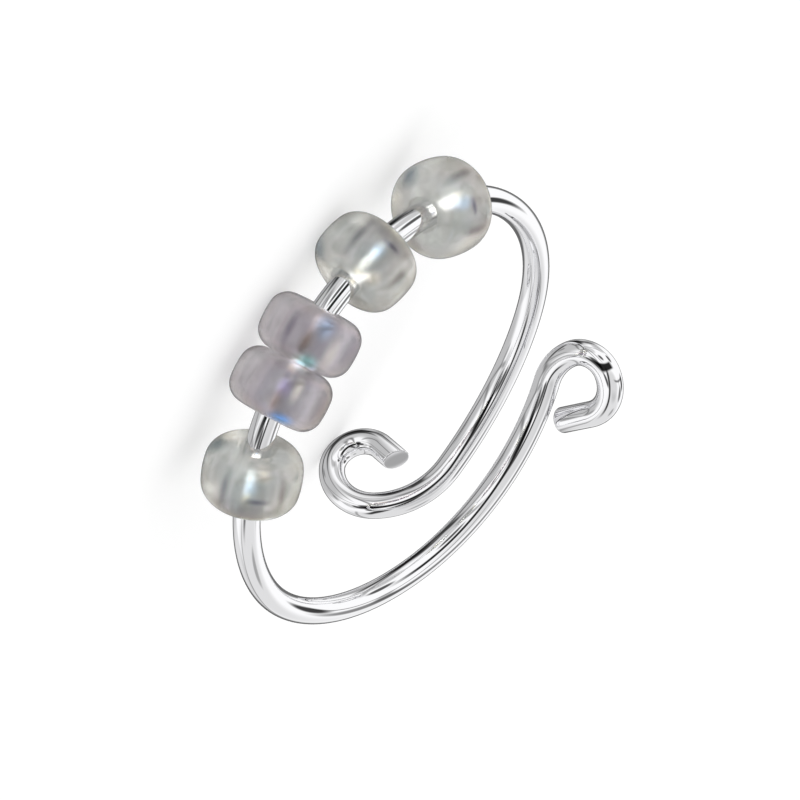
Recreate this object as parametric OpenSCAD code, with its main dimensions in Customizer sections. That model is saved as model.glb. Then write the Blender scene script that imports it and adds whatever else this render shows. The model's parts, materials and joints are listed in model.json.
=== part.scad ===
// Open bypass ring of round wire with five glass beads threaded on it.
// The ring is worked out in its own plane, then laid on its side as it rests by itself:
// on one curl and on two of its beads. The origin is the centre of the finger opening.
// All lengths are in millimetres and all angles in degrees.

/* [Wire] */
// Diameter of the round wire
wire_d = 1.1; // [0.9:0.05:1.3]
// Radius of the ring, from its centre to the middle of the wire
ring_r = 9.2; // [8.4:0.1:11]
// Where the true circle ends on the side of the low curl
low_start_angle = 88; // [80:1:95]
// Where the true circle ends on the side of the high curl
high_start_angle = 82; // [78:1:95]

/* [Curls] */
// Room inside the low curl beside a wire laid through it
low_curl_room = 0.4; // [0.3:0.05:0.9]
// Room inside the high curl beside a wire laid through it
high_curl_room = 0.3; // [0.3:0.05:0.6]
// Straight wire at the end of the low curl
low_tail = 1; // [0.5:0.1:1.2]
// Straight wire at the end of the high curl
high_tail = 1.6; // [0.8:0.1:1.8]
// Slant of the cut face of the low curl
cut_slant = 20; // [0:1:30]
// Rounding of the cut rim of the high curl
rim_round = 0.15; // [0.05:0.01:0.3]

/* [Beads] */
// Diameter of a bead
bead_d = 4; // [3.4:0.1:4.6]
// Length of the longest beads along the wire
bead_l = 2.5; // [2.2:0.1:3.2]
// Rounding of the end corners of a bead
bead_corner = 0.8; // [0.5:0.05:0.9]
// Radius of the swelling side of a bead, seen from the side
bead_swell = 4; // [3:0.1:6]
// Play between a bead and the wire at the tightest place
bead_play = 0.1; // [0.06:0.01:0.2]
// Rounding of the mouth of a bead's hole
mouth_round = 0.15; // [0.05:0.01:0.25]
// Gap between beads that lie face to face
face_gap = 0.04; // [0.03:0.01:0.2]
// Where the row of beads starts on the circle
row_start_angle = -62.5; // [-68:0.5:-58]

/* [Hidden] */
$fn = 48;
wire_r = wire_d / 2;
bead_r = bead_d / 2;
low_curl_r = wire_d + low_curl_room;
high_curl_r = wire_d + high_curl_room;
// A thin band over each place where two bends meet makes them one solid
band_l = 0.1;
// How far the band stands proud of the wire
band_proud = 0.005;
// What a bend stops short of its end inside the band
hair = 0.01;

// Straight stacks of beads in order along the row, in shares of bead_l.
// Columns: bare wire before the stack, lengths of its beads.
BARE = 0;
LENGTHS = 1;
STACKS = [
    [0, [1]],
    [0.74, [1]],
    [0.33, [0.94, 0.94]],
    [0.36, [1]]
];

// Bends after the true circle, each tangent to the last.
// Columns: radius, angle, turn of the bend's plane about the wire.
RADIUS = 0;
ANGLE = 1;
TURN = 2;
LOW_BENDS = [
    [1.02 * ring_r, 45, 12],
    [0.99 * ring_r, 51, -11],
    [2.6 * low_curl_r, 53, 81],
    [1.28 * low_curl_r, 92, 24],
    [0.81 * low_curl_r, 136, -8]
];
HIGH_BENDS = [
    [0.92 * ring_r, 71, 8],
    [1.02 * ring_r, 58, -7],
    [1.57 * high_curl_r, 47, 103],
    [0.82 * high_curl_r, 96, 11],
    [1.15 * high_curl_r, 90, 5]
];

// A place on the wire: point, direction along the wire, direction to the bend's centre
POINT = 0;
ALONG = 1;
INWARD = 2;
function circle_place(a, way) =
    [ring_r * [cos(a), sin(a), 0], way * [-sin(a), cos(a), 0], -[cos(a), sin(a), 0]];
function turned(place, turn) =
    [place[POINT], place[ALONG],
     cos(turn) * place[INWARD] + sin(turn) * cross(place[ALONG], place[INWARD])];
function along_bend(place, radius, a) =
    [place[POINT] + radius * (sin(a) * place[ALONG] + (1 - cos(a)) * place[INWARD]),
     cos(a) * place[ALONG] + sin(a) * place[INWARD],
     cos(a) * place[INWARD] - sin(a) * place[ALONG]];
// Where bend i of a table starts, with its plane already turned
function bend_place(start, bends, i) =
    turned(i == 0 ? start : bend_end(start, bends, i - 1), i < len(bends) ? bends[i][TURN] : 0);
function bend_end(start, bends, i) =
    along_bend(bend_place(start, bends, i), bends[i][RADIUS], bends[i][ANGLE]);

low_from = circle_place(-low_start_angle, -1);
high_from = circle_place(high_start_angle, 1);

// Radius of a bead's flat end face, whose corner circle touches the swelling side from inside
function face_r(len) =
    bead_r - bead_swell
    + sqrt(pow(bead_swell - bead_corner, 2) - pow(len / 2 - bead_corner, 2));

function bead_len(s, k) = STACKS[s][LENGTHS][k] * bead_l;
// Length of the first n beads of stack s, with the gaps after them
function run_len(s, n) = n == 0 ? 0 : run_len(s, n - 1) + bead_len(s, n - 1) + face_gap;
function stack_len(s) = run_len(s, len(STACKS[s][LENGTHS])) - face_gap;
// Rise of the wire's arc over the length of a stack
function stack_sag(s) = pow(stack_len(s), 2) / 8 / ring_r;
// Distance from the ring's centre to the axis of a stack, which halves that rise
function axis_r(s) = ring_r - stack_sag(s) / 2;
// Half of the circle that a stack takes up, measured at the rim of its end face
function stack_half(s) = atan(stack_len(s) / 2 / (axis_r(s) - face_r(bead_len(s, 0))));
function bare_angle(s) = STACKS[s][BARE] * bead_l / ring_r * 180 / PI;
function stack_angle(s) =
    s == 0
    ? row_start_angle + stack_half(0)
    : stack_angle(s - 1) + stack_half(s - 1) + bare_angle(s) + stack_half(s);
// Where the middle of bead k lies along the axis of its stack
function along_stack(s, k) = run_len(s, k) + (bead_len(s, k) - stack_len(s)) / 2;
function bead_bore(s) = wire_r + stack_sag(s) / 2 + bead_play;

// Places along the last three bends of the low curl
LOOK = 24;
LAST = len(LOW_BENDS) - 1;
curl_points = [
    for (i = [LAST - 2 : LAST], k = [0 : LOOK])
        along_bend(bend_place(low_from, LOW_BENDS, i), LOW_BENDS[i][RADIUS],
                   LOW_BENDS[i][ANGLE] * k / LOOK)[POINT]
];

// The ring leans about the line through the first beads of two stacks, until the low curl
// and those two beads touch the same floor
FEET = [1, 2];
function bead_point(s) =
    axis_r(s) * [cos(stack_angle(s)), sin(stack_angle(s)), 0]
    + along_stack(s, 0) * [-sin(stack_angle(s)), cos(stack_angle(s)), 0];
lean_line = bead_point(FEET[1]) - bead_point(FEET[0]);
lean_way = cross(lean_line, [0, 0, 1]) / norm(lean_line);
function height(p, lean) = cos(lean) * p.z - sin(lean) * (p * lean_way);
function lowest(lean) =
    let (low = min([for (p = curl_points) height(p, lean)]))
    [for (p = curl_points) if (height(p, lean) == low) p][0];
function lean_onto(p) =
    let (span = (bead_point(FEET[1]) - p) * lean_way)
    atan2(-p.z, span) - asin((bead_r - wire_r) / norm([span, p.z]));
lean = lean_onto(lowest(lean_onto(lowest(0))));

module at_rest() {
    rotate(lean, lean_line)
        children();
}

// Draws its children with +Y along the wire and +X away from the bend's centre
module at_place(place) {
    out = -place[INWARD];
    side = cross(out, place[ALONG]);
    multmatrix([for (k = [0 : 2]) [out[k], place[ALONG][k], side[k], place[POINT][k]]])
        children();
}

module bend(radius, angle) {
    short = hair / radius * 180 / PI;
    translate([-radius, 0, 0])
        rotate_extrude(start = short, angle = angle - 2 * short)
            translate([radius, 0])
                circle(wire_r);
}

// A straight length of wire starts here
module at_tail() {
    rotate([-90, 0, 0])
        translate([0, 0, hair])
            children();
}

module band() {
    rotate([90, 0, 0])
        cylinder(h = band_l, r = wire_r + band_proud, center = true);
}

module bends(start, table) {
    for (i = [0 : len(table) - 1])
        at_place(bend_place(start, table, i))
            bend(table[i][RADIUS], table[i][ANGLE]);
    for (i = [0 : len(table)])
        at_place(bend_place(start, table, i))
            band();
}

// The straight end of the low curl, cut on a slant
module low_end() {
    at_tail()
        difference() {
            cylinder(h = low_tail + wire_d, r = wire_r);
            translate([0, 0, low_tail])
                rotate([0, -cut_slant, 0])
                    translate([-wire_d, -wire_d, 0])
                        cube([2 * wire_d, 2 * wire_d, 2 * wire_d]);
        }
}

// The straight end of the high curl, with its rim rounded off
module high_end() {
    at_tail()
        rotate_extrude() {
            square([wire_r, high_tail - rim_round]);
            square([wire_r - rim_round, high_tail]);
            translate([wire_r - rim_round, high_tail - rim_round])
                intersection() {
                    circle(rim_round);
                    square(rim_round);
                }
        }
}

module ring_wire() {
    color("silver")
        at_rest() {
            at_place(circle_place(-low_start_angle, 1))
                bend(ring_r, low_start_angle + high_start_angle);
            bends(low_from, LOW_BENDS);
            bends(high_from, HIGH_BENDS);
            at_place(bend_place(low_from, LOW_BENDS, len(LOW_BENDS)))
                low_end();
            at_place(bend_place(high_from, HIGH_BENDS, len(HIGH_BENDS)))
                high_end();
        }
}

// Half section of a bead: its wall from the bore to the swelling side, along the bead's axis
module bead_section(len, bore) {
    corner_y = len / 2 - bead_corner;
    side_y = corner_y * bead_swell / (bead_swell - bead_corner);
    difference() {
        union() {
            translate([0, -len / 2])
                square([face_r(len), len]);
            for (end = [-1, 1])
                translate([face_r(len), end * corner_y])
                    circle(bead_corner);
            intersection() {
                translate([bead_r - bead_swell, 0])
                    circle(bead_swell);
                translate([0, -side_y])
                    square([bead_r, 2 * side_y]);
            }
        }
        translate([-bead_r, -len])
            square([bead_r + bore, 2 * len]);
        for (end = [0, 1])
            mirror([0, end])
                translate([bore, len / 2 - mouth_round])
                    difference() {
                        translate([-mouth_round, 0])
                            square(2 * mouth_round);
                        translate([mouth_round, 0])
                            circle(mouth_round);
                    }
    }
}

// Bead k of stack s, on the stack's own axis
module bead(s, k) {
    color("lightgray")
        at_rest()
            rotate([0, 0, stack_angle(s)])
                translate([axis_r(s), along_stack(s, k), 0])
                    rotate([-90, 0, 0])
                        rotate_extrude()
                            bead_section(bead_len(s, k), bead_bore(s));
}

ring_wire();
bead(0, 0);  // bead_1
bead(1, 0);  // bead_2
bead(2, 0);  // bead_3
bead(2, 1);  // bead_4
bead(3, 0);  // bead_5
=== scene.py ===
import bmesh
import bpy
import json
import math
from mathutils import Matrix, Vector


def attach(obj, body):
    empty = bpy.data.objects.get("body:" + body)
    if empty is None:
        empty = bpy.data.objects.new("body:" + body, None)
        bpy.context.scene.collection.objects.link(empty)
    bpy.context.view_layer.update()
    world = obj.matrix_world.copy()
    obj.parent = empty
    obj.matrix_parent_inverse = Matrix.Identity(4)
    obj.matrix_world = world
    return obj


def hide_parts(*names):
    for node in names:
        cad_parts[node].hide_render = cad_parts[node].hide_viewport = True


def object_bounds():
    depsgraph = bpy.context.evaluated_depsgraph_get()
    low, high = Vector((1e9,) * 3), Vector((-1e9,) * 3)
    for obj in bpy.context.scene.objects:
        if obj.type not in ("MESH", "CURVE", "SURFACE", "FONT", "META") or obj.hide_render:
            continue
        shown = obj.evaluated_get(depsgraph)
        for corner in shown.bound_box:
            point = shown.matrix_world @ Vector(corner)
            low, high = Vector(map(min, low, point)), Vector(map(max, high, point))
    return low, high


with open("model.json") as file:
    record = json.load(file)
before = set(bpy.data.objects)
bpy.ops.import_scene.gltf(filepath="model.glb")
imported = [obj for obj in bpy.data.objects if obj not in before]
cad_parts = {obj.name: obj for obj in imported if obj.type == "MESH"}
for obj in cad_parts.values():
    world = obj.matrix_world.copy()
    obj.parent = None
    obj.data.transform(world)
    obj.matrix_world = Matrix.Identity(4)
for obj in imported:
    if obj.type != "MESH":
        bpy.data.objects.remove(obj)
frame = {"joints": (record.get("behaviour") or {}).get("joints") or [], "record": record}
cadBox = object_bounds()
mm = 0.001

# where the ring lies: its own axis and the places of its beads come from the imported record
ringAxis = Vector(frame["record"]["mounts"][0]["axis"]).normalized()
lieDown = Vector((0, 0, 1)).rotation_difference(ringAxis).to_matrix().to_4x4()
beadJoints = [j for j in frame["joints"] if j["child"].startswith("bead")]

finish = {
    "mergeGap": 0.0001 * mm,  # points closer than this become one
    "sharpAngle": 40,  # degrees; a steeper edge stays sharp in the smooth shading
}


def makePiece(name, bm, material):
    # puts a bmesh in the scene as a piece at the origin
    mesh = bpy.data.meshes.new(name)
    bm.to_mesh(mesh)
    bm.free()
    mesh.materials.append(material)
    piece = bpy.data.objects.new(name, mesh)
    bpy.context.scene.collection.objects.link(piece)
    return piece


def makeSmoothPiece(name, bm, material):
    # the same for a closed round form, with its faces turned outwards
    bmesh.ops.remove_doubles(bm, verts=bm.verts, dist=finish["mergeGap"])
    bmesh.ops.recalc_face_normals(bm, faces=bm.faces)
    piece = makePiece(name, bm, material)
    piece.data.shade_smooth()
    piece.data.set_sharp_from_angle(angle=math.radians(finish["sharpAngle"]))
    return piece


def newMaterial(name):
    material = bpy.data.materials.new(name)
    material.use_nodes = True
    return material, material.node_tree, material.node_tree.nodes["Principled BSDF"]


# small node helpers, for the materials and the world

def feed(tree, socket, value):
    # links what comes out of another node, or sets a plain value
    if isinstance(value, bpy.types.NodeSocket):
        tree.links.new(value, socket)
    else:
        socket.default_value = value


def addMath(tree, operation, *values):
    node = tree.nodes.new("ShaderNodeMath")
    node.operation = operation
    for socket, value in zip(node.inputs, values):
        feed(tree, socket, value)
    return node.outputs["Value"]


def addVectorMath(tree, operation, result, *values):
    # the result is Value for a dot product or a length, and Vector for the rest
    node = tree.nodes.new("ShaderNodeVectorMath")
    node.operation = operation
    for socket, value in zip(node.inputs, values):
        feed(tree, socket, value)
    return node.outputs[result]


def addFade(tree, value, low, high, atLow, atHigh):
    # turns softly from one number into another while the value goes from low to high
    node = tree.nodes.new("ShaderNodeMapRange")
    node.interpolation_type = "SMOOTHSTEP"
    node.inputs["From Min"].default_value = low
    node.inputs["From Max"].default_value = high
    node.inputs["To Min"].default_value = atLow
    node.inputs["To Max"].default_value = atHigh
    tree.links.new(value, node.inputs["Value"])
    return node.outputs["Result"]


def addBlend(tree, share, first, second):
    # the first colour, with a share of the second
    node = tree.nodes.new("ShaderNodeMix")
    node.data_type = "RGBA"
    tree.links.new(share, node.inputs["Factor"])
    feed(tree, node.inputs["A"], first)
    feed(tree, node.inputs["B"], second)
    return node.outputs["Result"]


def addNoise(tree, where, scale, detail):
    node = tree.nodes.new("ShaderNodeTexNoise")
    node.inputs["Scale"].default_value = scale
    node.inputs["Detail"].default_value = detail
    tree.links.new(where, node.inputs["Vector"])
    return node.outputs["Fac"]


def addFrame(tree, where, middle, turn, size):
    # the same place, measured from a middle, along turned axes and in units of the size
    node = tree.nodes.new("ShaderNodeMapping")
    node.vector_type = "TEXTURE"
    node.inputs["Location"].default_value = middle
    node.inputs["Rotation"].default_value = turn.to_euler()
    node.inputs["Scale"].default_value = size
    tree.links.new(where, node.inputs["Vector"])
    return node.outputs["Vector"]


# silver

silver = {
    "colour": (0.93, 0.93, 0.945, 1),
    "roughness": 0.015,
    "ripple": 0.01,  # strength of the faint hand-worked waviness
    "rippleScale": 180,
    "rippleDepth": 0.1 * mm,
}


def makeSilver():
    material, tree, shader = newMaterial("polishedSilver")
    shader.inputs["Base Color"].default_value = silver["colour"]
    shader.inputs["Metallic"].default_value = 1
    shader.inputs["Roughness"].default_value = silver["roughness"]
    where = tree.nodes.new("ShaderNodeTexCoord").outputs["Object"]
    bump = tree.nodes.new("ShaderNodeBump")
    bump.inputs["Strength"].default_value = silver["ripple"]
    bump.inputs["Distance"].default_value = silver["rippleDepth"]
    tree.links.new(addNoise(tree, where, silver["rippleScale"], 0), bump.inputs["Height"])
    tree.links.new(bump.outputs["Normal"], shader.inputs["Normal"])
    return material


# the wire, bent from one round section as in the part

wire = {
    "diameter": 1.1 * mm,
    "ringRadius": 9.2 * mm,
    "lowStart": 88,  # degrees from the ring's front to where each end leaves the circle
    "highStart": 82,
    "lowCurlRadius": 1.5 * mm,
    "highCurlRadius": 1.4 * mm,
    "lowTail": 1.0 * mm,
    "highTail": 1.6 * mm,
    "cutSlant": 20,
    "cutRim": 0.05 * mm,
    "highRim": 0.15 * mm,
    "rimSegments": 5,
    "sides": 96,
    "degreesPerStep": 1.5,
    "cutGap": 0.00001 * mm,  # points this near the cut count as on it
}
lowBends = [  # radius, angle, and turn about the wire before each bend
    (1.02 * wire["ringRadius"], 45, 12),
    (0.99 * wire["ringRadius"], 51, -11),
    (2.6 * wire["lowCurlRadius"], 53, 81),
    (1.28 * wire["lowCurlRadius"], 92, 24),
    (0.81 * wire["lowCurlRadius"], 136, -8),
]
highBends = [
    (0.92 * wire["ringRadius"], 71, 8),
    (1.02 * wire["ringRadius"], 58, -7),
    (1.57 * wire["highCurlRadius"], 47, 103),
    (0.82 * wire["highCurlRadius"], 96, 11),
    (1.15 * wire["highCurlRadius"], 90, 5),
]


def circlePlace(angle, way):
    # a place on the wire: its point, the way along the wire and the way to the bend's centre
    out = Vector((math.cos(math.radians(angle)), math.sin(math.radians(angle)), 0))
    return out * wire["ringRadius"], way * Vector((-out.y, out.x, 0)), -out


def bendOn(bm, section, place, radius, angle, turn):
    # sweeps the open end of the wire on along one bend
    point, along, inward = place
    inward = Matrix.Rotation(math.radians(turn), 3, along) @ inward
    centre = point + radius * inward
    hinge = along.cross(inward)
    steps = max(2, round(angle / wire["degreesPerStep"]))
    swept = bmesh.ops.spin(bm, geom=section, cent=centre, axis=hinge,
                           angle=math.radians(angle), steps=steps, use_merge=False)
    swing = Matrix.Rotation(math.radians(angle), 3, hinge)
    return swept["geom_last"], (centre - swing @ (radius * inward), swing @ along, swing @ inward)


def closeEnd(bm, section, place, length, slant, rim):
    # a straight tail, drawn out too long, cut back on a slant and eased at the rim
    point, along, inward = place
    edges = [e for e in section if isinstance(e, bmesh.types.BMEdge)]
    grown = bmesh.ops.extrude_edge_only(bm, edges=edges)["geom"]
    verts = [v for v in grown if isinstance(v, bmesh.types.BMVert)]
    bmesh.ops.translate(bm, verts=verts, vec=along * (length + wire["diameter"]))
    tail = {f for v in verts for f in v.link_faces}
    tailParts = list(tail | {v for f in tail for v in f.verts} | {e for f in tail for e in f.edges})
    cutWay = Matrix.Rotation(math.radians(slant), 3, along.cross(inward)) @ along
    cut = bmesh.ops.bisect_plane(bm, geom=tailParts, dist=wire["cutGap"],
                                 plane_co=point + along * length, plane_no=cutWay,
                                 clear_outer=True)["geom_cut"]
    loop = [e for e in cut if isinstance(e, bmesh.types.BMEdge)]
    bmesh.ops.edgeloop_fill(bm, edges=loop)
    bmesh.ops.bevel(bm, geom=loop, offset=rim, offset_type="OFFSET",
                    segments=wire["rimSegments"], profile=0.5, affect="EDGES", material=-1)


def makeWire(material):
    bm = bmesh.new()
    start = circlePlace(-wire["lowStart"], 1)
    point, along = start[:2]
    facing = along.to_track_quat("Z", "X").to_matrix().to_4x4()
    made = bmesh.ops.create_circle(bm, cap_ends=False, segments=wire["sides"],
                                   radius=wire["diameter"] / 2,
                                   matrix=Matrix.Translation(point) @ facing)
    ring = made["verts"] + list(bm.edges)
    arc = wire["lowStart"] + wire["highStart"]
    section, place = bendOn(bm, ring, start, wire["ringRadius"], arc, 0)
    for radius, angle, turn in highBends:
        section, place = bendOn(bm, section, place, radius, angle, turn)
    closeEnd(bm, section, place, wire["highTail"], 0, wire["highRim"])
    section, place = ring, circlePlace(-wire["lowStart"], -1)
    for radius, angle, turn in lowBends:
        section, place = bendOn(bm, section, place, radius, angle, turn)
    closeEnd(bm, section, place, wire["lowTail"], wire["cutSlant"], wire["cutRim"])
    bmesh.ops.transform(bm, matrix=lieDown, verts=bm.verts)
    piece = makeSmoothPiece("ringWire", bm, material)
    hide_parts("ring_wire")
    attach(piece, "wire")


# beads

bead = {
    "radius": 2.0 * mm,
    "swell": 4.0 * mm,  # radius of the side's own curve
    "corner": 0.8 * mm,
    "mouth": 0.15 * mm,  # rounding where the bore opens
    "sides": 96,
    "curveSteps": 14,
    "mouthSteps": 5,
}
beadSizes = {  # length along the wire and radius of the bore
    "bead_1": (2.5 * mm, 0.69 * mm),
    "bead_2": (2.5 * mm, 0.69 * mm),
    "bead_3": (2.35 * mm, 0.80 * mm),
    "bead_4": (2.35 * mm, 0.80 * mm),
    "bead_5": (2.5 * mm, 0.69 * mm),
}


def beadFrame(joint):
    # the bead's middle, and columns out from the ring, along the bead and square to both
    middle = Vector(joint["pos_m"])
    along = Vector(joint["axis"]).normalized()
    side = (middle - middle.dot(along) * along).normalized()
    return middle, Matrix((side, along, side.cross(along))).transposed()


def drawLine(bm, vert, to):
    made = bmesh.ops.extrude_vert_indiv(bm, verts=[vert])["verts"][0]
    made.co = Vector((to[0], to[1], 0))
    return made


def drawArc(bm, vert, centre, angle, steps):
    swept = bmesh.ops.spin(bm, geom=[vert], cent=(centre[0], centre[1], 0), axis=(0, 0, 1),
                           angle=math.radians(angle), steps=steps, use_merge=False)
    return [v for v in swept["geom_last"] if isinstance(v, bmesh.types.BMVert)][0]


def drawBeadSection(bm, length, bore):
    # outline of the wall, from the bore's middle up and round to where it began
    half = length / 2
    swell, corner, mouth = bead["swell"], bead["corner"], bead["mouth"]
    curveSteps, mouthSteps = bead["curveSteps"], bead["mouthSteps"]
    swellX = bead["radius"] - swell
    cornerY = half - corner
    faceX = swellX + math.sqrt((swell - corner) ** 2 - cornerY ** 2)
    meet = math.degrees(math.atan2(cornerY, faceX - swellX))
    v = bm.verts.new((bore, -half + mouth, 0))
    v = drawLine(bm, v, (bore, half - mouth))
    v = drawArc(bm, v, (bore + mouth, half - mouth), -90, mouthSteps)
    v = drawLine(bm, v, (faceX, half))
    v = drawArc(bm, v, (faceX, cornerY), meet - 90, curveSteps)
    v = drawArc(bm, v, (swellX, 0), -2 * meet, curveSteps)
    v = drawArc(bm, v, (faceX, -cornerY), meet - 90, curveSteps)
    v = drawLine(bm, v, (bore + mouth, -half))
    drawArc(bm, v, (bore + mouth, -half + mouth), -90, mouthSteps)


def makeBead(joint, material):
    name = joint["child"]
    length, bore = beadSizes[name]
    bm = bmesh.new()
    drawBeadSection(bm, length, bore)
    bmesh.ops.spin(bm, geom=list(bm.verts) + list(bm.edges), cent=(0, 0, 0), axis=(0, 1, 0),
                   angle=math.tau, steps=bead["sides"], use_merge=True)
    middle, turn = beadFrame(joint)
    bmesh.ops.transform(bm, matrix=Matrix.Translation(middle) @ turn.to_4x4(), verts=bm.verts)
    piece = makeSmoothPiece(name.replace("_", "") + "Glass", bm, material)
    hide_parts(name)
    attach(piece, name)


# cloudy glass with a rainbow coating, and painted glints, highlights and shade in spots

glass = {
    "cloudScale": 1600,
    "streakScale": 1100,
    "streakStretch": 0.12,  # how much slower the streaks change along the bead
    "mottleDetail": 2,
    "mottleRange": (0.82, 1.18),  # where the two noises together turn from deep to pale
    "roughness": 0.26,
    "transmission": 0.8,
    "ior": 1.5,
    "coat": 0.4,
    "coatRoughness": 0.12,
    "filmNm": (250, 420),  # thickness of the coating, from thin to thick
    "filmScale": 350,
    "filmDetail": 1,
    "filmIor": 1.35,
    "spotDepth": 1,  # mm that a painted spot reaches into the glass
}
glassTints = {  # the deep and the pale tone of the cloudy glass
    "smoky_bead": ((0.53, 0.54, 0.515, 1), (0.68, 0.69, 0.665, 1)),
    "rosy_bead": ((0.54, 0.51, 0.53, 1), (0.66, 0.635, 0.65, 1)),
}
# painted spots on the glass: the pale and coloured ones are painted glints and highlights in the
# coating's tints, dark ones are painted shade, as lines along the bore, patches at its mouths and one
# side of the bead made darker;
# each has its place along the bead in mm and around it in degrees,
# size along and around it in mm, and how much the spot mirrors like metal at its middle
paintedGlintsAndShade = {
    "bead_1": [
        {"at": (1.2, -42), "size": (0.9, 0.8), "strength": 0.35, "colour": (0.22, 0.28, 0.33)},
        {"at": (0.35, 60), "size": (0.22, 0.65), "strength": 0.25, "colour": (0.17, 0.17, 0.22)},
        {"at": (0.85, 52), "size": (0.6, 0.45), "strength": 0.3, "colour": (0.55, 0.72, 0.95)},
        {"at": (0.3, 20), "size": (1.3, 0.35), "strength": 0.05, "colour": (0.20, 0.22, 0.22)},
        {"at": (0.3, 90), "size": (1.3, 0.35), "strength": 0.04, "colour": (0.22, 0.21, 0.20)},
    ],
    "bead_2": [
        {"at": (1.2, -54), "size": (1.0, 0.9), "strength": 0.4, "colour": (0.20, 0.28, 0.34)},
        {"at": (-0.35, 42), "size": (0.22, 0.65), "strength": 0.3, "colour": (0.17, 0.17, 0.22)},
        {"at": (0.2, 34), "size": (0.7, 0.45), "strength": 0.35, "colour": (0.55, 0.72, 0.95)},
        {"at": (1.1, 55), "size": (0.5, 0.5), "strength": 0.35, "colour": (1.0, 0.93, 0.8)},
        {"at": (0.2, 5), "size": (1.3, 0.35), "strength": 0.05, "colour": (0.20, 0.22, 0.22)},
        {"at": (0.2, 75), "size": (1.3, 0.35), "strength": 0.04, "colour": (0.22, 0.21, 0.20)},
    ],
    "bead_3": [
        {"at": (1.0, 42), "size": (0.6, 0.75), "strength": 0.7, "colour": (0.45, 0.95, 0.95)},
        {"at": (-0.6, 42), "size": (0.8, 0.6), "strength": 0.5, "colour": (0.62, 0.76, 1.0)},
        {"at": (0.2, 29), "size": (1.1, 0.35), "strength": 0.35, "colour": (0.17, 0.13, 0.11)},
        {"at": (0.1, 5), "size": (1.2, 0.3), "strength": 0.07, "colour": (0.20, 0.20, 0.24)},
        {"at": (0.3, 62), "size": (1.1, 0.5), "strength": 0.3, "colour": (0.85, 0.80, 0.74)},
        {"at": (-0.1, 100), "size": (1.9, 1.4), "strength": 0.16, "colour": (0.17, 0.17, 0.24)},
    ],
    "bead_4": [
        {"at": (1.0, 48), "size": (0.45, 0.9), "strength": 0.8, "colour": (0.16, 0.45, 1.0)},
        {"at": (-0.2, 33), "size": (0.6, 0.5), "strength": 0.45, "colour": (0.66, 0.60, 0.95)},
        {"at": (0.5, 31), "size": (0.8, 0.3), "strength": 0.18, "colour": (0.17, 0.13, 0.11)},
        {"at": (-0.35, 47), "size": (0.9, 0.35), "strength": 0.45, "colour": (1.0, 0.95, 0.86)},
        {"at": (-0.1, 98), "size": (1.9, 1.4), "strength": 0.13, "colour": (0.20, 0.18, 0.18)},
    ],
    "bead_5": [
        {"at": (0.05, 45), "size": (0.22, 0.65), "strength": 0.3, "colour": (0.17, 0.17, 0.22)},
        {"at": (-0.5, 35), "size": (0.7, 0.45), "strength": 0.35, "colour": (0.55, 0.72, 0.95)},
        {"at": (-1.1, 50), "size": (0.5, 0.5), "strength": 0.35, "colour": (1.0, 0.93, 0.8)},
        {"at": (-0.2, 5), "size": (1.3, 0.35), "strength": 0.05, "colour": (0.20, 0.22, 0.22)},
        {"at": (-0.2, 75), "size": (1.3, 0.35), "strength": 0.04, "colour": (0.22, 0.21, 0.20)},
        {"at": (-1.15, -54), "size": (0.9, 0.8), "strength": 0.35, "colour": (0.24, 0.31, 0.33)},
    ],
}


def spotPlace(joint, along, around):
    # a point on the bead's side, and its own columns: outwards, along the bead and around it
    middle, turn = beadFrame(joint)
    swellX = bead["radius"] - bead["swell"]
    reach = swellX + math.sqrt(bead["swell"] ** 2 - (along * mm) ** 2)
    turn = turn @ Matrix.Rotation(math.radians(-around), 3, "Y")
    return middle + turn @ Vector((reach, along * mm, 0)), turn


def addMottle(tree, where, joint):
    # clouds, and streaks along the bead, which is cut from a drawn tube
    middle, turn = beadFrame(joint)
    drawn = addFrame(tree, where, middle, turn, (1, 1 / glass["streakStretch"], 1))
    cloud = addNoise(tree, where, glass["cloudScale"], glass["mottleDetail"])
    streak = addNoise(tree, drawn, glass["streakScale"], glass["mottleDetail"])
    return addFade(tree, addMath(tree, "ADD", cloud, streak), *glass["mottleRange"], 0, 1)


def addFilm(tree, where):
    # the faint rainbow coating, thicker here and thinner there
    thickness = tree.nodes.new("ShaderNodeMapRange")
    thickness.inputs["To Min"].default_value, thickness.inputs["To Max"].default_value = glass["filmNm"]
    film = addNoise(tree, where, glass["filmScale"], glass["filmDetail"])
    tree.links.new(film, thickness.inputs["Value"])
    return thickness.outputs["Result"]


def addPaintedSpot(tree, where, joint, spot, colour, mirror):
    # lays one soft painted spot, a painted glint, highlight or shade, over the colour and the mirroring
    # that the glass has so far
    place, turn = spotPlace(joint, *spot["at"])
    size = Vector((glass["spotDepth"], *spot["size"])) * mm
    away = addVectorMath(tree, "LENGTH", "Value", addFrame(tree, where, place, turn, size))
    near = addFade(tree, away, 0, 1, 1, 0)
    colour = addBlend(tree, near, colour, (*spot["colour"], 1))
    return colour, addMath(tree, "MULTIPLY_ADD", near, spot["strength"], mirror)


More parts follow.
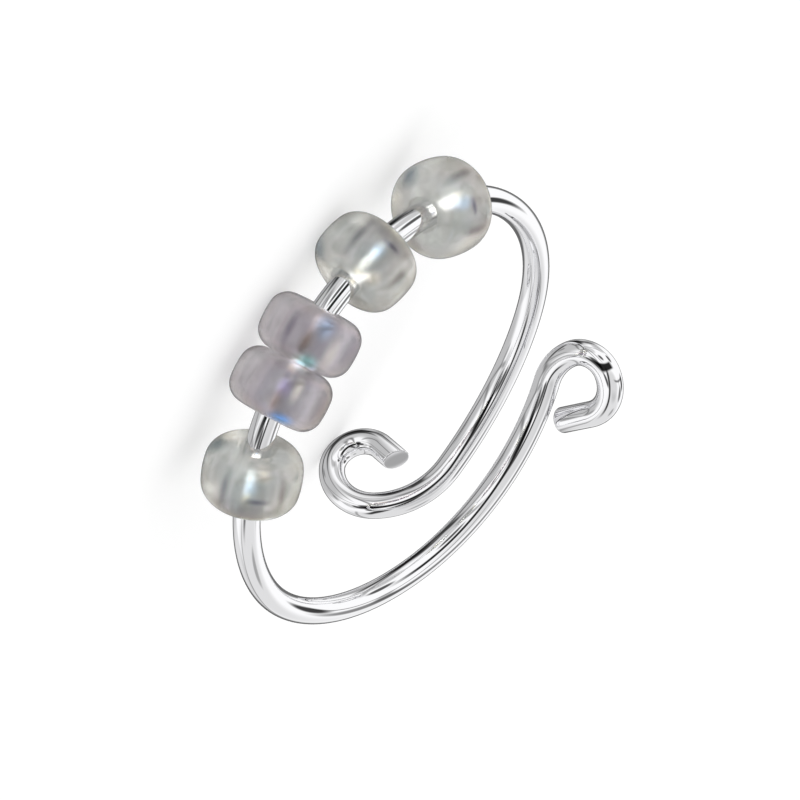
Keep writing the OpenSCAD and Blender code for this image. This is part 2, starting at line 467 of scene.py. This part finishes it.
def makeGlass(joint, slot):
    name = joint["child"]
    material, tree, shader = newMaterial(name.replace("_", "") + "Cloudy")
    where = tree.nodes.new("ShaderNodeTexCoord").outputs["Object"]
    deep, pale = glassTints[slot]
    colour, mirror = addBlend(tree, addMottle(tree, where, joint), deep, pale), 0
    # painted glints, highlights and shade are laid over the cloudy tone, spot by spot
    for spot in paintedGlintsAndShade[name]:
        colour, mirror = addPaintedSpot(tree, where, joint, spot, colour, mirror)
    tree.links.new(colour, shader.inputs["Base Color"])
    tree.links.new(mirror, shader.inputs["Metallic"])
    tree.links.new(addFilm(tree, where), shader.inputs["Thin Film Thickness"])
    shader.inputs["Thin Film IOR"].default_value = glass["filmIor"]
    shader.inputs["Roughness"].default_value = glass["roughness"]
    shader.inputs["Transmission Weight"].default_value = glass["transmission"]
    shader.inputs["IOR"].default_value = glass["ior"]
    shader.inputs["Coat Weight"].default_value = glass["coat"]
    shader.inputs["Coat Roughness"].default_value = glass["coatRoughness"]
    return material


# studio

studio = {
    "floorColour": (0.55, 0.55, 0.55, 1),
    "floorGlow": 0.5,  # the floor is a light table, which keeps the shadows pale
    "floorSize": 2.0,
    "light": 1.05,
    "beadLight": (0.8, 0.8, 0.8),  # what the beads let through, where no soft box stands
    "endSoftness": 12,  # degrees
}
# dark card strips that the silver mirrors, by azimuth and elevation of their two ends
cardStrips = [
    {"from": (-64, 37), "to": (44, -3), "halfWidth": 9, "soft": 3, "dark": 0.98},
    {"from": (8, 31), "to": (90, 19), "halfWidth": 6, "soft": 3, "dark": 0.95},
    {"from": (-27, -26), "to": (-9, 12), "halfWidth": 3, "soft": 2, "dark": 0.6},
    {"from": (9, -28), "to": (-44, -56), "halfWidth": 2.5, "soft": 2, "dark": 0.55},
    {"from": (-44, -56), "to": (-100, -66), "halfWidth": 5, "soft": 3, "dark": 0.9},
    {"from": (-28, -33), "to": (10, 3), "halfWidth": 2, "soft": 1.5, "dark": 0.7},
    {"from": (-44, -34), "to": (-68, -8), "halfWidth": 2.5, "soft": 1.5, "dark": 0.5},
    {"from": (-92, 14), "to": (-92, -56), "halfWidth": 3, "soft": 2, "dark": 0.55},
    {"from": (77, -64), "to": (57, -18), "halfWidth": 2, "soft": 1.5, "dark": 0.55},
    {"from": (76, -66), "to": (26, -14), "halfWidth": 2, "soft": 1.5, "dark": 0.5},
    {"from": (-104, -14), "to": (84, -70), "halfWidth": 5, "soft": 2, "dark": 0.85},
    {"from": (-135, 36), "to": (-14, 68), "halfWidth": 2, "soft": 1.5, "dark": 0.75},
    {"from": (-176, 60), "to": (-112, 66), "halfWidth": 2.5, "soft": 1.5, "dark": 0.55},
    {"from": (88, 2), "to": (160, 2), "halfWidth": 2, "soft": 1.5, "dark": 0.5},
    {"from": (-150, -14), "to": (-88, -32), "halfWidth": 7, "soft": 5, "dark": 0.5},
]
# round cards and grey reflectors: azimuth and elevation of the middle, radius in degrees
cardSpots = [
    {"at": (-100, -52), "radius": 11, "soft": 4, "dark": 0.9},
    {"at": (0, -90), "radius": 52, "soft": 12, "dark": 0.48},
    {"at": (-125, -50), "radius": 26, "soft": 14, "dark": 0.35},
    {"at": (44, -6), "radius": 8, "soft": 3, "dark": 0.85},
    {"at": (25, 2), "radius": 12, "soft": 4, "dark": 0.9},
    {"at": (134, 47), "radius": 7, "soft": 3, "dark": 0.5},
    {"at": (72, -39), "radius": 6, "soft": 3, "dark": 0.5},
    {"at": (25, -77), "radius": 5, "soft": 2, "dark": 0.5},
    {"at": (-143, 40), "radius": 10, "soft": 4, "dark": 0.95},
    {"at": (115, 35), "radius": 42, "soft": 12, "dark": 0.25},
    {"at": (25, 62), "radius": 28, "soft": 10, "dark": 0.3},
    {"at": (135, -18), "radius": 24, "soft": 3, "dark": 0.25},
    {"at": (-178, -15), "radius": 32, "soft": 6, "dark": 0.85},
    {"at": (47, 17), "radius": 8, "soft": 3, "dark": 0.9},
    {"at": (-29, 10), "radius": 8, "soft": 3, "dark": 0.9},
    {"at": (-78, 21), "radius": 9, "soft": 3, "dark": 0.9},
    {"at": (-81, -10), "radius": 14, "soft": 5, "dark": 0.4},
    {"at": (54, -16), "radius": 12, "soft": 5, "dark": 0.35},
    {"at": (-32, -23), "radius": 15, "soft": 5, "dark": 0.35},
    {"at": (-165, 62), "radius": 11, "soft": 5, "dark": 0.75},
    {"at": (-128, -52), "radius": 10, "soft": 4, "dark": 0.85},
    {"at": (-72, -52), "radius": 8, "soft": 4, "dark": 0.85},
]
# soft boxes that light the beads from within: the wire inside mirrors them as bright bands
softBoxes = [
    # white middles, for bead 1, bead 2, beads 3 and 4, and bead 5
    {"from": (-102, -2), "to": (-110, 46), "halfWidth": 13, "soft": 5, "light": (4.0, 4.0, 4.0)},
    {"from": (-51, -4), "to": (-62, 44), "halfWidth": 14, "soft": 5, "light": (9.0, 9.0, 9.0)},
    {"from": (6, 4), "to": (4, 36), "halfWidth": 12, "soft": 6, "light": (6.0, 5.8, 5.4)},
    {"from": (66, -2), "to": (78, 46), "halfWidth": 14, "soft": 5, "light": (8.0, 8.0, 8.0)},
    # blue sides, for beads 1, 2 and 5
    {"from": (-116, -14), "to": (-92, -12), "halfWidth": 10, "soft": 7, "light": (0.2, 2.2, 5.0)},
    {"from": (-64, -16), "to": (-42, -16), "halfWidth": 10, "soft": 7, "light": (0.4, 3.8, 9.0)},
    {"from": (54, -14), "to": (76, -14), "halfWidth": 10, "soft": 7, "light": (0.4, 3.4, 8.0)},
    # cream ends, for beads 1, 2 and 5
    {"from": (-84, 10), "to": (-88, 40), "halfWidth": 6, "soft": 5, "light": (3.0, 2.6, 1.8)},
    {"from": (-32, 6), "to": (-36, 36), "halfWidth": 6, "soft": 5, "light": (4.6, 4.0, 2.9)},
    {"from": (46, 8), "to": (50, 40), "halfWidth": 6, "soft": 5, "light": (6.0, 5.2, 3.8)},
]


def makeFloor():
    bm = bmesh.new()
    bmesh.ops.create_grid(bm, x_segments=1, y_segments=1, size=studio["floorSize"] / 2)
    bmesh.ops.translate(bm, verts=bm.verts, vec=(0, 0, cadBox[0][2]))  # the ring's lowest point
    material, tree, shader = newMaterial("paleFloor")
    shader.inputs["Base Color"].default_value = studio["floorColour"]
    shader.inputs["Roughness"].default_value = 1
    shader.inputs["Specular IOR Level"].default_value = 0
    shader.inputs["Emission Color"].default_value = (1, 1, 1, 1)
    shader.inputs["Emission Strength"].default_value = studio["floorGlow"]
    floor = makePiece("floor", bm, material)
    floor.visible_glossy = False  # the silver mirrors the cards round it, below it too


def directionOf(azimuth, elevation):
    turn, rise = math.radians(azimuth), math.radians(elevation)
    return Vector((math.cos(turn) * math.cos(rise), math.sin(turn) * math.cos(rise), math.sin(rise)))


def nearness(tree, way, middle, radius, soft):
    # 1 inside a cone about the middle direction, 0 outside it
    outer = math.cos(math.radians(min(radius + soft, 180)))
    inner = math.cos(math.radians(max(radius - soft, 0)))
    return addFade(tree, addVectorMath(tree, "DOT_PRODUCT", "Value", way, middle), outer, inner, 0, 1)


def sideways(tree, way, across, halfWidth, soft):
    # 1 inside a band along the great circle square to the across direction, 0 outside it
    inner = math.sin(math.radians(max(halfWidth - soft, 0)))
    outer = math.sin(math.radians(halfWidth + soft))
    aside = addMath(tree, "ABSOLUTE", addVectorMath(tree, "DOT_PRODUCT", "Value", way, across))
    return addFade(tree, aside, inner, outer, 1, 0)


def between(tree, way, strip):
    # 1 on a strip of card or light, 0 off it
    start, end = directionOf(*strip["from"]), directionOf(*strip["to"])
    band = sideways(tree, way, start.cross(end).normalized(), strip["halfWidth"], strip["soft"])
    reach = nearness(tree, way, (start + end).normalized(),
                     math.degrees(start.angle(end)) / 2, studio["endSoftness"])
    return addMath(tree, "MULTIPLY", band, reach)


def addCards(tree, way):
    # the white room with its cards, as the silver mirrors it
    light = studio["light"]
    for strip in cardStrips:
        left = addMath(tree, "MULTIPLY_ADD", between(tree, way, strip), -strip["dark"], 1)
        light = addMath(tree, "MULTIPLY", light, left)
    for spot in cardSpots:
        near = nearness(tree, way, directionOf(*spot["at"]), spot["radius"], spot["soft"])
        left = addMath(tree, "MULTIPLY_ADD", near, -spot["dark"], 1)
        light = addMath(tree, "MULTIPLY", light, left)
    return light


def makeWorld():
    world = bpy.data.worlds.new("studio")
    world.use_nodes = True
    bpy.context.scene.world = world
    tree = world.node_tree
    way = tree.nodes.new("ShaderNodeTexCoord").outputs["Generated"]
    rays = tree.nodes.new("ShaderNodeLightPath")
    plain = addMath(tree, "MULTIPLY", rays.outputs["Is Diffuse Ray"], studio["light"])
    room = tree.nodes["Background"]
    room.inputs["Color"].default_value = (1, 1, 1, 1)
    strength = addMath(tree, "MAXIMUM", addCards(tree, way), plain)  # the floor gets plain light
    tree.links.new(strength, room.inputs["Strength"])
    glow = studio["beadLight"]
    for box in softBoxes:
        glow = addVectorMath(tree, "MULTIPLY_ADD", "Vector", between(tree, way, box), box["light"], glow)
    within = tree.nodes.new("ShaderNodeBackground")
    tree.links.new(glow, within.inputs["Color"])
    choose = tree.nodes.new("ShaderNodeMixShader")  # light through the beads comes from the boxes
    tree.links.new(rays.outputs["Is Transmission Ray"], choose.inputs["Fac"])
    tree.links.new(room.outputs[0], choose.inputs[1])
    tree.links.new(within.outputs[0], choose.inputs[2])
    tree.links.new(choose.outputs[0], tree.nodes["World Output"].inputs["Surface"])


# camera: the photo's own angle to the ring, which leans as it lies, so the picture is rolled

view = {
    "azimuth": 2.3,
    "elevation": 14.8,
    "roll": 123.5,
    "distance": 242 * mm,
    "width": 32.2 * mm,  # what the picture takes in at the ring's centre
    "shift": (0.0037, 0.0082),
    "sensor": 36,
    "nearest": 1 * mm,
}


def makeCamera():
    lens = bpy.data.cameras.new("camera")
    lens.sensor_width = view["sensor"]
    lens.lens = view["sensor"] * view["distance"] / view["width"]
    lens.shift_x, lens.shift_y = view["shift"]
    lens.clip_start = view["nearest"]
    camera = bpy.data.objects.new("camera", lens)
    bpy.context.scene.collection.objects.link(camera)
    turn = Matrix.Rotation(math.radians(90 + view["azimuth"]), 4, "Z")
    tilt = Matrix.Rotation(math.radians(90 - view["elevation"]), 4, "X")
    roll = Matrix.Rotation(math.radians(view["roll"]), 4, "Z")
    camera.matrix_world = turn @ tilt @ Matrix.Translation((0, 0, view["distance"])) @ roll
    bpy.context.scene.camera = camera


makeCamera()
makeFloor()
makeWorld()
bpy.context.scene.view_settings.view_transform = "Standard"
print("studio ready")

makeWire(makeSilver())
print("wire bent")

slots = {s["node"]: s["material_slot"] for s in frame["record"]["subparts"]}
for joint in beadJoints:
    slot = slots[joint["child"]]
    makeBead(joint, makeGlass(joint, slot))
print(len(beadJoints), "beads threaded")
